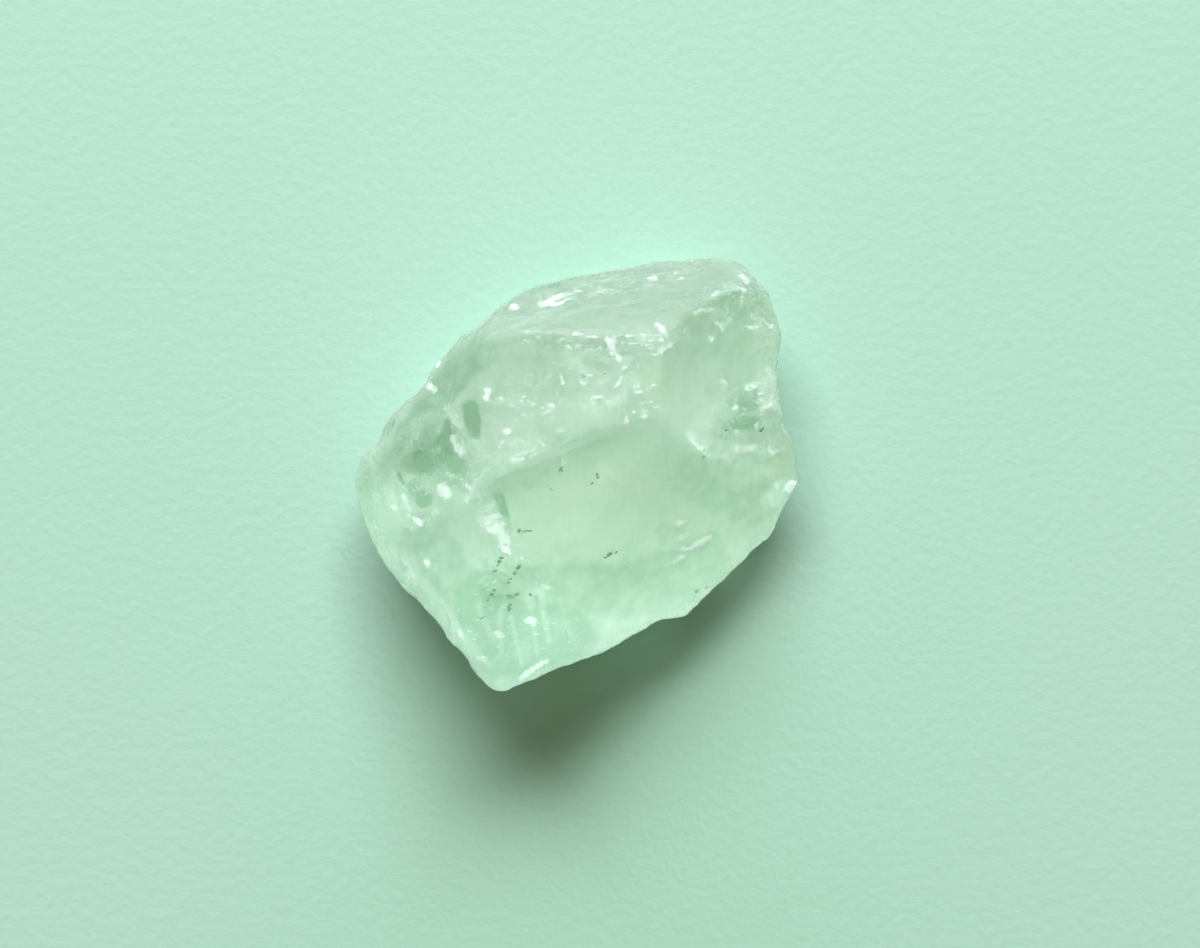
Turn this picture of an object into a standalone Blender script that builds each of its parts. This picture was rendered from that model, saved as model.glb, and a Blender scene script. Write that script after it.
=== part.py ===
"""Raw alum stone: one lump of clear, milky crystal, broken off by fracture faces.

The stone lies on a flat break. Its widest line, the girdle, is a little above the table, so the
lower faces run in under it. Above the girdle a wide even face tilts to the front right, a steep
face drops to the left, a narrow band falls away at the back, and a shell-shaped hollow takes the
right shoulder. +X is right, +Y is back, +Z is up, and the origin is on the table under the middle
of the stone. Lengths are named in millimetres and turned to metres when they are used.
"""

import math
import random

import bmesh
import bpy
from mathutils import Matrix, Vector, noise

MM = 0.001
STONE_NAME = "alum_stone"

# ---------------------------------------------------------------- driving dimensions (mm)
STONE_WIDTH = 44.6
STONE_DEPTH = 43.1
STONE_HEIGHT = 23.0

# Corners where three or more breaks meet. The girdle runs round the stone, from the left point
# over the back to the right point and home along the front.
GIRDLE = {
    "left_point": (-22.55, -1.1, 8.0),
    "left_back_low": (-20.8, 2.9, 6.4),
    "left_back_mid": (-17.4, 7.1, 5.4),
    "left_back_high": (-14.3, 10.8, 5.0),
    "left_shoulder": (-10.1, 14.8, 4.6),
    "back_left": (-4.9, 19.0, 4.4),
    "back_mid": (0.5, 20.2, 4.8),
    "back_right": (7.2, 21.0, 6.0),
    "back_peak": (14.0, 21.9, 6.8),
    "back_peak_end": (16.6, 21.3, 7.4),
    "right_shoulder": (19.6, 18.4, 8.4),
    "right_corner": (20.6, 15.7, 9.2),
    "right_bulge": (22.2, 1.3, 6.6),
    "right_point": (22.65, -1.2, 5.8),
    "front_right": (19.6, -6.6, 5.6),
    "front_right_step": (16.2, -10.2, 5.8),
    "front_mid": (11.0, -14.3, 6.8),
    "front_left": (4.7, -16.9, 9.6),
    "tip_right": (-5.8, -21.0, 14.6),
    "tip": (-7.5, -21.5, 15.2),
    "tip_left": (-9.9, -19.5, 15.0),
    "left_front_mid": (-16.2, -12.2, 11.6),
    "left_front_high": (-19.5, -7.7, 8.4),
    "left_point_under": (-21.4, -4.8, 8.0),
}
CROWN = {
    "back_ridge_left": (-8.6, 13.4, 17.2),
    "back_ridge_mid": (-2.3, 13.8, 19.6),
    "back_ridge_right": (8.8, 13.0, 20.6),
    "back_ridge_end": (15.6, 16.4, 16.0),
    "summit_left": (-7.3, -1.9, 20.8),
    "summit_mid": (2.0, 2.6, 22.6),
    "summit": (7.4, 4.4, 22.3),
    "summit_right": (11.5, 3.6, 20.3),
    "left_ridge_top": (-12.2, 7.6, 15.8),
    "left_ridge_mid": (-10.9, 2.7, 17.6),
    "left_ridge_low": (-6.9, -6.5, 19.8),
    "tip_ridge": (-9.7, -14.0, 17.8),
}
BELLY = {
    "belly_left": (-19.4, -2.4, 3.6),
    "belly_back_left": (-12.2, 12.2, 1.8),
    "belly_back": (3.5, 18.6, 1.8),
    "belly_back_right": (16.4, 18.2, 3.0),
    "belly_right": (19.4, 5.5, 2.0),
    "belly_front_right": (15.6, -8.2, 1.5),
    "belly_front": (3.5, -14.6, 2.8),
    "belly_tip": (-8.4, -17.0, 7.6),
    "belly_front_left": (-14.4, -10.2, 3.9),
}
FOOT = {
    "foot_left": (-13.2, 2.5, 0.0),
    "foot_back_left": (-8.0, 9.8, 0.0),
    "foot_back": (3.0, 14.6, 0.0),
    "foot_back_right": (11.5, 13.0, 0.0),
    "foot_right": (14.8, 5.5, 0.0),
    "foot_right_front": (12.2, -4.5, 0.0),
    "foot_front": (2.5, -10.4, 0.0),
    "foot_front_left": (-8.0, -8.6, 0.0),
}

# Shell-shaped hollows: the side they are on, three points on the rim in plan, and the depth below
# the plane of the rim.
TOP = 1
UNDERSIDE = -1
HOLLOWS = {
    "right_scoop": (TOP, (8.8, 12.6), (14.6, 1.2), (21.0, 9.5), 1.4),
    "right_scoop_low": (TOP, (12.2, 2.4), (16.4, 9.6), (20.6, 4.6), 1.5),
    "right_scoop_high": (TOP, (9.6, 13.6), (17.6, 15.6), (17.0, 8.6), 0.8),
    "left_window": (TOP, (-11.8, 4.6), (-10.2, -1.4), (-15.6, 0.8), 1.0),
    "left_window_low": (TOP, (-14.6, 2.6), (-12.6, -4.0), (-18.0, -2.4), 0.6),
    "tip_hollow": (TOP, (-6.4, -8.4), (-1.7, -15.6), (-9.0, -14.6), 0.5),
    "front_chip": (TOP, (8.9, -8.2), (14.6, -8.4), (8.6, -13.2), 0.5),
    "front_chip_right": (TOP, (17.0, -2.0), (20.4, -3.4), (16.8, -7.0), 0.5),
    "back_chip": (TOP, (-13.4, 9.6), (-16.6, 6.2), (-13.2, 5.4), 0.5),
    "under_front": (UNDERSIDE, (-5.0, -17.2), (5.0, -14.9), (-1.0, -11.6), 1.2),
    "under_left": (UNDERSIDE, (-18.6, -1.0), (-15.2, -9.0), (-12.9, -3.6), 1.3),
    "under_back": (UNDERSIDE, (-4.0, 16.0), (8.0, 19.0), (1.5, 13.2), 1.1),
    "under_right": (UNDERSIDE, (17.0, 14.0), (19.5, 1.5), (15.0, 5.0), 1.3),
}

# Steps where a layer broke away: the two ends of the lip in plan, a point ahead where the lower
# layer meets the old surface again, and the height of the riser at either end.
LEDGES = {
    "summit_ledge": ((-9.0, -2.9), (8.6, 5.0), (1.5, -4.6), 0.7, 0.0),
    "back_ledge_upper": ((-8.0, 14.9), (10.0, 16.6), (1.0, 18.6), 0.6, 0.0),
    "back_ledge_lower": ((-7.4, 16.4), (0.5, 18.1), (-3.0, 18.8), 0.7, 0.0),
}
# The block that cuts a ledge: how far it reaches ahead of the lip, its thickness, how far it runs
# on past either end of the lip, and how far the riser leans back.
LEDGE_REACH = 24.0
LEDGE_BLOCK = 8.0
LEDGE_RUN_ON = 3.0
LEDGE_LEAN = math.radians(40)

# Wide dents that the outline has where the girdle bends inwards: the two corners they lie between,
# how far along, the radius of the ball that fits the dent, and its depth.
GIRDLE_DENTS = {
    "right_dent": ("right_corner", "right_bulge", 0.53, 12.0, 1.4),
    "left_back_dent": ("left_back_mid", "left_back_high", 0.15, 6.0, 0.5),
    "front_dent": ("tip_right", "front_left", 0.42, 12.0, 0.5),
}
# Small chips knocked off the girdle, above and below it in turn. The ends of the width and depth,
# past KEPT_END of either, keep their points.
CHIP_COUNT = 22
CHIP_RADIUS = (1.6, 4.2)
CHIP_SINK = (0.20, 0.50)
CHIP_TILT = (math.radians(40), math.radians(75))
CHIP_SEED = 11
KEPT_END = 0.44

# The even net that carries the grain, and how much its edges are worn.
GRID = 0.50
WORN_FACTOR = 0.5
WORN_PASSES = 2

# Grain of the break: waves that bend the flat faces, and the finer hackle that covers them. The
# hackle is strongest in the rough patches, each a centre and a radius, and SMOOTH_SHARE of it is
# left on the plain faces.
WAVE_HEIGHT = 0.40
WAVE_LENGTH = 7.0
HACKLE_HEIGHT = 0.30
HACKLE_LENGTH = 2.2
ROUGH_PATCHES = {
    "tip": ((-6.5, -14.5, 16.0), 6.0),
    "back_crest": ((6.0, 13.0, 19.0), 5.0),
    "right_crest": ((14.5, 14.0, 16.0), 5.0),
    "scoop_floor": ((17.0, 5.0, 13.0), 4.0),
    "left_veil": ((-11.0, 0.0, 17.0), 4.0),
    "underside": ((0.0, 0.0, 2.0), 14.0),
}
SMOOTH_SHARE = 0.35

# The foot is cut level at FOOT_LEVEL, and the grain fades out over FOOT_BAND above it.
FOOT_LEVEL = 0.25
FOOT_BAND = 1.6
SHORTEST_EDGE = 0.15
TRIANGLE_LIMIT = 8600

CRYSTAL_COLOUR = (0.62, 0.82, 0.68, 1.0)
CRYSTAL_ROUGHNESS = 0.3
CRYSTAL_CLARITY = 0.6
ALUM_IOR = 1.456


def in_metres(point):
    return Vector(point) * MM


def clear_scene():
    for old in list(bpy.data.objects):
        bpy.data.objects.remove(old)


def new_collection(name):
    made = bpy.data.collections.new(name)
    bpy.context.scene.collection.children.link(made)
    return made


def lump_from_corners(name, corners):
    """The lump that the corners span, as one closed mesh of flat breaks."""
    body = bmesh.new()
    for point in corners.values():
        body.verts.new(in_metres(point))
    spanned = bmesh.ops.convex_hull(body, input=body.verts)
    buried = [part for part in spanned["geom_interior"] if isinstance(part, bmesh.types.BMVert)]
    for vert in buried:
        print("corner inside the lump:", tuple(round(v / MM, 2) for v in vert.co))
    bmesh.ops.delete(body, geom=buried, context="VERTS")
    mesh = bpy.data.meshes.new(name)
    body.to_mesh(mesh)
    body.free()
    return bpy.data.objects.new(name, mesh)


def as_cutter(cutter, name):
    for owner in list(cutter.users_collection):
        owner.objects.unlink(cutter)
    cutters.objects.link(cutter)
    cutter.name = name
    cutter.hide_render = True
    cutter.display_type = "WIRE"
    return cutter


def outward(normal, place):
    """The normal, turned so that it points away from the heart of the stone."""
    heart = in_metres((0, 0, STONE_HEIGHT / 2))
    return normal if normal.dot(place - heart) > 0 else -normal


def drop_to_lump(lump, spot, side):
    """The point of the lump straight above or below a spot of the plan."""
    start = in_metres((*spot, side * 2 * STONE_HEIGHT))
    found, place, _, _ = lump.ray_cast(start, Vector((0, 0, -side)))
    if not found:
        raise ValueError(f"{spot} is off the lump")
    return place


def hollow_cutter(name, lump, side, rim_a, rim_b, rim_c, depth):
    """A ball that meets the rim plane in the circle through three points and sinks to depth."""
    a, b, c = (drop_to_lump(lump, spot, side) for spot in (rim_a, rim_b, rim_c))
    ab, ac = b - a, c - a
    across = ab.cross(ac)
    to_centre = across.cross(ab) * ac.length_squared + ac.cross(across) * ab.length_squared
    to_centre /= 2 * across.length_squared
    rim_radius = to_centre.length
    sink = depth * MM
    ball_radius = (rim_radius ** 2 + sink ** 2) / (2 * sink)
    centre = a + to_centre + outward(across.normalized(), a) * (ball_radius - sink)
    bpy.ops.mesh.primitive_ico_sphere_add(subdivisions=5, radius=ball_radius, location=centre)
    print(f"{name}: rim radius {rim_radius / MM:.1f} mm, ball radius {ball_radius / MM:.1f} mm")
    return as_cutter(bpy.context.object, name)


def ledge_cutter(name, lump, lip_a, lip_b, ahead, rise_a, rise_b):
    """A block whose back face passes through the lip and whose floor is the lower layer."""
    a, b, c = (drop_to_lump(lump, spot, TOP) for spot in (lip_a, lip_b, ahead))
    a.z -= rise_a * MM
    b.z -= rise_b * MM
    along = (b - a).normalized()
    up = outward(along.cross(c - a).normalized(), a)
    forward = ((c - a) - along * along.dot(c - a)).normalized()
    along = forward.cross(up)
    length = (b - a).length + 2 * LEDGE_RUN_ON * MM
    bpy.ops.mesh.primitive_cube_add(size=1)
    block = bpy.context.object
    lip_first = Matrix.Translation((0, 0.5, 0.5))
    stretch = Matrix.Diagonal((length, LEDGE_REACH * MM, LEDGE_BLOCK * MM, 1))
    lean = Matrix.Shear("XY", 4, (0, -math.tan(LEDGE_LEAN)))
    turn = Matrix((along, forward, up)).transposed().to_4x4()
    place = Matrix.Translation((a + b) / 2)
    block.data.transform(place @ turn @ lean @ stretch @ lip_first)
    return as_cutter(block, name)


def girdle_dent(name, corner_a, corner_b, share, radius, depth):
    """A ball beside the girdle that bites a wide dent into the outline."""
    place = in_metres(GIRDLE[corner_a]).lerp(in_metres(GIRDLE[corner_b]), share)
    along = in_metres(GIRDLE[corner_b]) - in_metres(GIRDLE[corner_a])
    out = outward(Vector((along.y, -along.x, 0)).normalized(), place)
    centre = place + out * (radius - depth) * MM
    bpy.ops.mesh.primitive_ico_sphere_add(subdivisions=4, radius=radius * MM, location=centre)
    return as_cutter(bpy.context.object, name)


def girdle_chips():
    """Balls that nick the girdle at random, but not at the four points that set its size."""
    chance = random.Random(CHIP_SEED)
    ring = [in_metres(point) for point in GIRDLE.values()]
    balls = []
    for number in range(CHIP_COUNT):
        start = chance.randrange(len(ring))
        place = ring[start].lerp(ring[(start + 1) % len(ring)], chance.random())
        at_side = abs(place.x) > KEPT_END * STONE_WIDTH * MM
        at_front_or_back = abs(place.y) > KEPT_END * STONE_DEPTH * MM
        if at_side or at_front_or_back:
            continue
        radius = chance.uniform(*CHIP_RADIUS) * MM
        sink = chance.uniform(*CHIP_SINK) * MM
        tilt = chance.uniform(*CHIP_TILT)
        flat_out = Vector((place.x, place.y, 0)).normalized()
        side = TOP if number % 2 else UNDERSIDE
        out = flat_out * math.cos(tilt) + Vector((0, 0, side * math.sin(tilt)))
        centre = place + out * (radius - sink)
        bpy.ops.mesh.primitive_ico_sphere_add(subdivisions=3, radius=radius, location=centre)
        balls.append(as_cutter(bpy.context.object, f"girdle_chip_{number:02d}"))
    return balls


def cut(target, cutter):
    boolean = target.modifiers.new(cutter.name, "BOOLEAN")
    boolean.operation = "DIFFERENCE"
    boolean.solver = "EXACT"
    boolean.object = cutter


def evaluated_copy(source):
    """The object's mesh with its modifiers worked in."""
    graph = bpy.context.evaluated_depsgraph_get()
    return bpy.data.meshes.new_from_object(source.evaluated_get(graph))


def settle(target):
    """Modifiers become part of the mesh."""
    settled = evaluated_copy(target)
    target.modifiers.clear()
    target.data = settled


def regrid(target, cell):
    """The surface again as an even net of small faces."""
    remesh = target.modifiers.new("even_net", "REMESH")
    remesh.mode = "VOXEL"
    remesh.voxel_size = cell * MM
    worn = target.modifiers.new("worn_edges", "SMOOTH")
    worn.factor = WORN_FACTOR
    worn.iterations = WORN_PASSES
    settle(target)


def patch_strength(place):
    """From the smooth share of a plain face up to 1 inside a rough patch."""
    nearest = SMOOTH_SHARE
    for centre, radius in ROUGH_PATCHES.values():
        away = (place - in_metres(centre)).length / (radius * MM)
        nearest = max(nearest, 1.0 - (1.0 - SMOOTH_SHARE) * min(away, 1.0) ** 2)
    return nearest


def relief(place):
    """Height of the break's grain over the flat faces, in metres."""
    wave = noise.fractal(place / (WAVE_LENGTH * MM), 0.6, 2.0, 2)
    hackle_place = place / (HACKLE_LENGTH * MM) + Vector((7.3, 1.9, 4.4))
    hackle = 1.0 - 2.0 * abs(noise.noise(hackle_place))
    hackle += 0.5 * noise.noise(hackle_place * 2.1)
    height = WAVE_HEIGHT * wave + HACKLE_HEIGHT * (hackle - 0.5) * patch_strength(place)
    above_foot = min(place.z / (FOOT_BAND * MM), 1.0)
    return height * above_foot ** 2 * MM


def roughen(target):
    mesh = target.data
    mesh.update()
    normals = [vert.normal.copy() for vert in mesh.vertices]
    for vert, normal in zip(mesh.vertices, normals):
        vert.co += normal * relief(vert.co)


def flatten_foot(target, lift):
    """The flat break that the stone rests on, cut level and brought down to the table."""
    body = bmesh.new()
    body.from_mesh(target.data)
    everything = body.verts[:] + body.edges[:] + body.faces[:]
    level = Vector((0, 0, lift * MM))
    cut_made = bmesh.ops.bisect_plane(body, geom=everything, dist=1e-6, plane_co=level,
                                      plane_no=(0, 0, 1), clear_inner=True)
    rim = [part for part in cut_made["geom_cut"] if isinstance(part, bmesh.types.BMVert)]
    bmesh.ops.remove_doubles(body, verts=rim, dist=SHORTEST_EDGE * MM)
    open_edges = [edge for edge in body.edges if edge.is_boundary]
    bmesh.ops.contextual_create(body, geom=open_edges)
    bmesh.ops.translate(body, verts=body.verts, vec=-level)
    body.to_mesh(target.data)
    body.free()


def fit_to_size(target):
    """Exact overall size, with the origin under the middle of the stone."""
    corners = [vert.co for vert in target.data.vertices]
    low = Vector([min(corner[axis] for corner in corners) for axis in range(3)])
    high = Vector([max(corner[axis] for corner in corners) for axis in range(3)])
    wanted = in_metres((STONE_WIDTH, STONE_DEPTH, STONE_HEIGHT))
    middle = Vector(((low.x + high.x) / 2, (low.y + high.y) / 2, low.z))
    scale = [wanted[axis] / (high[axis] - low[axis]) for axis in range(3)]
    print("fit scale", [round(value, 4) for value in scale])
    target.data.transform(Matrix.Diagonal((*scale, 1)) @ Matrix.Translation(-middle))


def thin_out(target, limit):
    """Fewer, larger triangles where the surface is plain."""
    target.data.update()
    target.data.calc_loop_triangles()
    count = len(target.data.loop_triangles)
    decimate = target.modifiers.new("fewer_faces", "DECIMATE")
    decimate.ratio = limit / count
    decimate.use_collapse_triangulate = True
    settle(target)


def crystal_material():
    """Milky, slightly green alum with the soft shine of a fresh break."""
    material = bpy.data.materials.new("alum_crystal")
    material.use_nodes = True
    shader = material.node_tree.nodes["Principled BSDF"]
    shader.inputs["Base Color"].default_value = CRYSTAL_COLOUR
    shader.inputs["Roughness"].default_value = CRYSTAL_ROUGHNESS
    shader.inputs["IOR"].default_value = ALUM_IOR
    shader.inputs["Transmission Weight"].default_value = CRYSTAL_CLARITY
    shader.inputs["Metallic"].default_value = 0.0
    return material


clear_scene()
part = new_collection(STONE_NAME)
cutters = new_collection("cutters")
stone = lump_from_corners(STONE_NAME, {**GIRDLE, **CROWN, **BELLY, **FOOT})
part.objects.link(stone)
bpy.context.view_layer.update()
blocks = [ledge_cutter(name, stone, *ledge) for name, ledge in LEDGES.items()]
balls = [hollow_cutter(name, stone, *hollow) for name, hollow in HOLLOWS.items()]
dents = [girdle_dent(name, *dent) for name, dent in GIRDLE_DENTS.items()]
for cutter in blocks + balls + dents + girdle_chips():
    cut(stone, cutter)
settle(stone)
regrid(stone, GRID)
roughen(stone)
thin_out(stone, TRIANGLE_LIMIT)
flatten_foot(stone, FOOT_LEVEL)
fit_to_size(stone)
stone.data.materials.append(crystal_material())
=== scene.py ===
# %% [markdown]
# # An alum stone
# This is a raw lump of alum, the clear, slightly cloudy salt that is sold in pieces for shaving and as a
# deodorant. It was broken by hand from a much larger crystal, so every side of it is a fresh break: some
# faces are nearly flat, some are scooped like broken glass, and some are torn into small steps. The packed
# CAD model already has its size, its big faces and its ledges. The cells below give it the fine relief of
# the break, the look of clear crystal full of white veils, a sheet of pale paper and a soft window light.

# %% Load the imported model
import math

import bpy
import numpy as np
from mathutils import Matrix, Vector


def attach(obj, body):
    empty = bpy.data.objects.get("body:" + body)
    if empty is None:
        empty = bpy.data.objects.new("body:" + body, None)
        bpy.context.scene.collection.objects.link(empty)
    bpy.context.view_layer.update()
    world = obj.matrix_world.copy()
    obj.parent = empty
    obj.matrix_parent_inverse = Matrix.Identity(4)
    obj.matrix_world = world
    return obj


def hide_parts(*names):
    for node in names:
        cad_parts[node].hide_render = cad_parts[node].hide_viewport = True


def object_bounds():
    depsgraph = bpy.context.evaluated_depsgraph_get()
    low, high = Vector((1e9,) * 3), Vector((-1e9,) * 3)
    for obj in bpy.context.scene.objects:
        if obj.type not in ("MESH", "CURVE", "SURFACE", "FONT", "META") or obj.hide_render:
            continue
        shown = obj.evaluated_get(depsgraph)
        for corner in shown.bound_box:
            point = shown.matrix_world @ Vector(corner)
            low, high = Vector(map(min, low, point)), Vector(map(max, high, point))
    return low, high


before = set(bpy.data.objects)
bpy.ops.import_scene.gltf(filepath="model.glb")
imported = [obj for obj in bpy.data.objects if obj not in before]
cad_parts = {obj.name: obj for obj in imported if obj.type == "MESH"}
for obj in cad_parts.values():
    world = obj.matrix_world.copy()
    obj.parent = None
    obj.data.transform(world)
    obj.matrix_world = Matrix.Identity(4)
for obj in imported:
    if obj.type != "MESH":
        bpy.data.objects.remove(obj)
cad_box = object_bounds()
print("CAD box in mm:", [[round(v * 1000, 2) for v in corner] for corner in cad_box])

# %% [markdown]
# ## Units
# Blender works in metres here, but a maker thinks of a hand-sized stone in millimetres. One constant turns
# one into the other for shapes, and its inverse does so for patterns.

# %% Millimetres, and picking one object
MM = 0.001
PER_MM = 1 / MM  # the scale of a pattern that repeats every millimetre
print("one millimetre is", MM, "Blender units")


def pick(thing):
    """Deselects everything, then selects this object and makes it active."""
    bpy.ops.object.select_all(action="DESELECT")
    thing.select_set(True)
    bpy.context.view_layer.objects.active = thing


# %% [markdown]
# ## The lump
# The CAD solid is a mesh of loose triangles about a millimetre wide, too coarse for the sparkle of a broken
# crystal. A sculptor would remesh it, smooth the triangles away, and carve the fine break on top. This does
# the same. The copy's loose triangles are merged first, or the remesh would see thousands of separate
# shells.

# %% Copy the CAD solid and merge it
MERGE_WITHIN = 0.001 * MM

cad_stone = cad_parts["alum_stone"]
stone = bpy.data.objects.new("alum_lump", cad_stone.data.copy())
bpy.context.scene.collection.objects.link(stone)
stone.data.materials.clear()
pick(stone)
bpy.ops.object.mode_set(mode="EDIT")
bpy.ops.mesh.select_all(action="SELECT")
bpy.ops.mesh.remove_doubles(threshold=MERGE_WITHIN)
bpy.ops.object.mode_set(mode="OBJECT")
print("merged copy:", len(stone.data.vertices), "vertices")

# %% Give it an even, fine mesh
GRAIN = 0.245 * MM  # the smallest bump the mesh can hold is about twice this
MELT_PASSES = 5  # enough to lose the edges of the CAD triangles and keep the ledges
MELT_STEP = 0.5  # how far each pass moves a point towards its neighbours' middle

even = stone.modifiers.new("even mesh", "REMESH")
even.mode = "VOXEL"
even.voxel_size = GRAIN
bpy.ops.object.modifier_apply(modifier=even.name)
soft = stone.modifiers.new("melt the triangles", "SMOOTH")
soft.factor = MELT_STEP
soft.iterations = MELT_PASSES
bpy.ops.object.modifier_apply(modifier=soft.name)
bpy.ops.object.shade_smooth()
print("even mesh:", len(stone.data.polygons), "faces")

# %% [markdown]
# ## Places on the stone
# A break isn't the same all over. To say where it is torn and where it is smooth, each place is a stroke,
# as with a paintbrush: a line seen from above in millimetres, half its width, and a strength. A place with
# a crisp edge, such as a clear window, is an outline of a few corners instead. Both only reach faces that
# look up. The same brush later places the veils, the windows and the small open cracks.

# %% Reading the stone's points
def stone_points(what="co"):
    """The vertices' positions in mm, or with "normal" their directions, one row each."""
    flat = np.zeros(len(stone.data.vertices) * 3)
    stone.data.vertices.foreach_get(what, flat)
    return flat.reshape(-1, 3) / (MM if what == "co" else 1)


UP_STEEPNESS = 4
UP_AT_THE_SIDE = 0.6  # how strongly paint still takes where the surface stands upright


def facing_up():
    """1 where the surface looks up, fading to 0 just under the widest line of the stone."""
    return np.clip(stone_points("normal")[:, 2] * UP_STEEPNESS + UP_AT_THE_SIDE, 0, 1)


def distance_to_side(plan, start, end):
    """How far each point of the plan is from the straight side between two corners."""
    a = np.array(start)
    along = np.array(end) - a
    share = np.clip(((plan - a) @ along) / (along @ along), 0, 1)
    nearest = a + share[:, None] * along
    return np.linalg.norm(plan - nearest, axis=1)


def distance_to_line(plan, line):
    """How far each point of the plan is from the nearest side of a line of corners."""
    return np.minimum.reduce([distance_to_side(plan, start, end) for start, end in zip(line, line[1:])])


print("points to paint:", len(stone_points()), "and facing up:", round(float(facing_up().mean()), 2))

# %% Strokes with soft edges, and outlines with crisp ones
NEARLY_NOTHING = 1e-9  # mm, keeps a level side from being divided by zero


def stroke_weights(strokes, soft=0.6):
    """How strongly each vertex is under the strokes. soft is the share of the width that fades."""
    plan = stone_points()[:, :2]
    weights = np.zeros(len(plan))
    for line, half_width, strength in strokes.values():
        gap = distance_to_line(plan, line)
        fade = np.clip((half_width - gap) / (half_width * soft) + 0.5, 0, 1)
        eased = fade * fade * (3 - 2 * fade)
        weights = np.maximum(weights, strength * eased)
    return weights * facing_up()


def line_weights(lines, fade):
    """Above 0.5 within a line's half width and below it beyond, changing over this many mm."""
    plan = stone_points()[:, :2]
    weights = np.zeros(len(plan))
    for line, half_width in lines.values():
        gap = distance_to_line(plan, line)
        weights = np.maximum(weights, np.clip(0.5 + (half_width - gap) / fade, 0, 1))
    return weights * facing_up()


def outline_weights(outlines, fade):
    """Above 0.5 inside the outlines and below it outside, changing over this many mm."""
    plan = stone_points()[:, :2]
    weights = np.zeros(len(plan))
    for corners in outlines.values():
        loop = corners + corners[:1]
        gap = distance_to_line(plan, loop)
        inside = np.zeros(len(plan), bool)
        for (ax, ay), (bx, by) in zip(loop, loop[1:]):
            crosses = (plan[:, 1] > ay) != (plan[:, 1] > by)
            crossing_x = ax + (plan[:, 1] - ay) * (bx - ax) / (by - ay + NEARLY_NOTHING)
            inside ^= crosses & (plan[:, 0] < crossing_x)
        signed = np.where(inside, gap, -gap)
        weights = np.maximum(weights, np.clip(0.5 + signed / fade, 0, 1))
    return weights * facing_up()


# %% Keeping what was painted
GROUP_LEVELS = 20  # a vertex group is filled in this many steps, which is much quicker than point by point


def keep_group(name, weights):
    """Stores weights as a vertex group, which modifiers read."""
    group = stone.vertex_groups.new(name=name)
    levels = np.round(weights * GROUP_LEVELS).astype(int)
    for level in range(1, GROUP_LEVELS + 1):
        group.add(np.nonzero(levels == level)[0].tolist(), level / GROUP_LEVELS, "REPLACE")
    print(f"{name}: {np.count_nonzero(levels)} vertices")


def keep_attribute(name, weights):
    """Stores weights as a mesh attribute, which materials read."""
    layer = stone.data.attributes.new(name, "FLOAT", "POINT")
    layer.data.foreach_set("value", weights.astype(np.float32))
    print(f"{name}: mean {weights.mean():.3f}")


# %% Where the break is torn, ribbed or sleek
HACKLY = {
    "tip": ([(-7.4, -12.5), (-6.0, -17.4)], 2.72, 1.0),
    "tip_top": ([(-7.4, -8.6), (-3.0, -9.5)], 1.74, 0.8),
    "left_point": ([(-20.0, -0.8), (-16.4, 0.1)], 2.57, 0.3),
    "left_windows": ([(-14.4, 2.1), (-10.3, 3.0), (-10.1, -2.8)], 1.94, 0.5),
    "peak": ([(10.1, 15.2), (17.7, 17.2)], 2.35, 1.0),
    "right_side": ([(19.0, 15.1), (19.4, 2.6)], 1.39, 0.9),
    "scoop_deep": ([(14.9, 5.1), (18.2, 7.6)], 1.78, 1.0),
    "ridge": ([(2.3, 12.1), (9.2, 12.7)], 1.16, 0.7),
    "rim_low_left": ([(-20.4, -5.8), (-14.5, -13.7), (-9.7, -21.1)], 0.99, 0.8),
    "rim_low_right": ([(-3.6, -19.3), (6.3, -16.0), (14.3, -12.1), (20.9, -4.9)], 1.00, 0.8),
    "rim_back_left": ([(-21.4, 0.1), (-17.8, 7.2), (-12.7, 12.7), (-6.7, 17.5)], 1.10, 0.6),
    "rim_back": ([(-5.7, 18.4), (2.3, 20.1), (12.3, 20.9)], 0.60, 0.7),
}
STRIATED = {
    "back_band": ([(-6.0, 15.1), (2.3, 15.9), (16.1, 18.4)], 2.55, 1.0),
}
SLEEK = {
    "front_face": ([(-0.6, -4.7), (6.2, -2.8), (14.1, -2.8)], 4.27, 1.0),
    "front_face_low": ([(0.4, -12.5), (6.2, -11.7), (11.2, -8.8)], 2.56, 1.0),
    "scoop_floor": ([(11.1, 11.8), (12.0, 7.0)], 2.14, 0.9),
    "left_face": ([(-14.9, -7.2), (-11.3, -11.5)], 1.76, 0.7),
}

FOOT_KEPT = 0.5  # mm above the paper where the flat foot ends and the break may begin
BELLY_TOP = 9.0  # mm, the lower faces are torn below this
BELLY_TORN = 0.7
SLEEK_KEEPS = 0.25  # the share of the waves that a sleek face still has

heights = stone_points()[:, 2]
off_foot = np.clip((heights - FOOT_KEPT) / FOOT_KEPT, 0, 1)
hackly = stroke_weights(HACKLY)
belly = BELLY_TORN * np.clip(1 - heights / BELLY_TOP, 0, 1)

keep_group("not sleek", off_foot * (1 - (1 - SLEEK_KEEPS) * stroke_weights(SLEEK)))
keep_group("torn", off_foot * np.maximum(hackly, belly))
keep_group("ribbed", off_foot * stroke_weights(STRIATED))

# %% [markdown]
# ## A soft fold
# In the CAD model the shelf ends in one long, even step, and on the stone that step fades away to the
# right. A sculptor would run a smooth brush along that part. A Smooth modifier held to one vertex group
# does the same.

# %% Melt the end of the ledge
FOLD = {
    "shelf_to_front": ([(-1.5, 1.3), (2.3, 2.7), (5.0, 3.8), (8.5, 4.9)], 1.63, 1.0),
}

FOLD_PASSES = 70

keep_group("fold", stroke_weights(FOLD, soft=1.0))
melt = stone.modifiers.new("melt the fold", "SMOOTH")
melt.factor = MELT_STEP
melt.iterations = FOLD_PASSES
melt.vertex_group = "fold"
pick(stone)
bpy.ops.object.modifier_apply(modifier=melt.name)

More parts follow.
